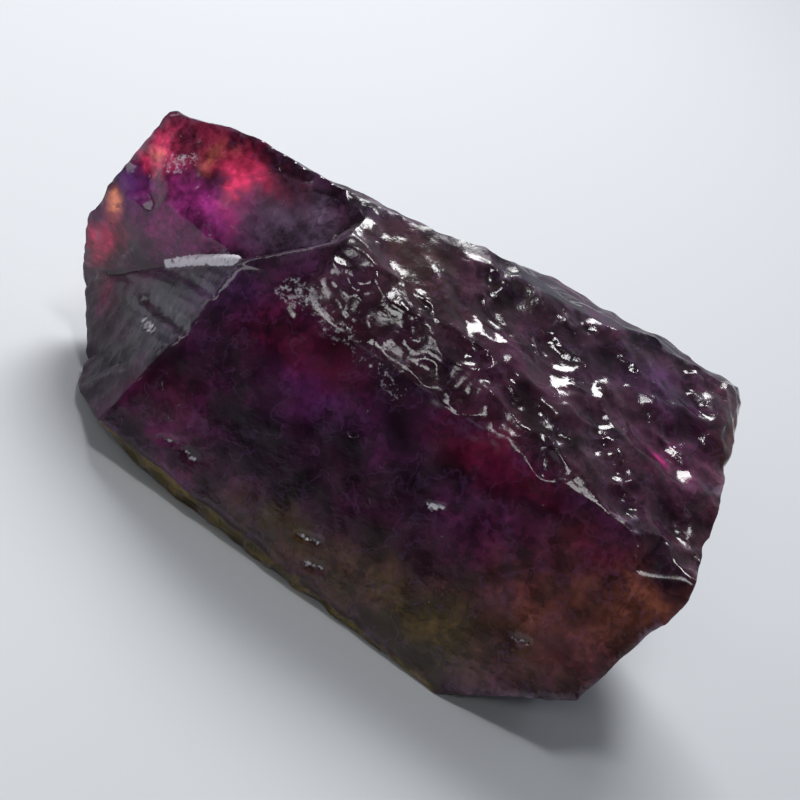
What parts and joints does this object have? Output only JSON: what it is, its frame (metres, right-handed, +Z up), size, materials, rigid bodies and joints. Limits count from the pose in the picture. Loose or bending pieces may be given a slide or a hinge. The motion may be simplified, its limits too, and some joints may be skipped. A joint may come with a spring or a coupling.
{
  "type": "raw sapphire crystal",
  "caption": "Rough, uncut crystal of dark purple corundum with flat broken faces, a set-back head at one end and shell-shaped fracture hollows, lying on its flat underside.",
  "frame": {"origin": "under the middle of the stone, on the surface that it lies on", "axes": "+X along the stone, away from the set-back head; +Y toward the back; +Z up"},
  "size_m": [0.0376, 0.02, 0.0173],
  "materials": {
    "sapphire": "dark purple corundum, glassy broken faces, see-through and magenta in the thin parts"
  },
  "bodies": {
    "root": {"crystal": "sapphire"}
  },
  "joints": []
}
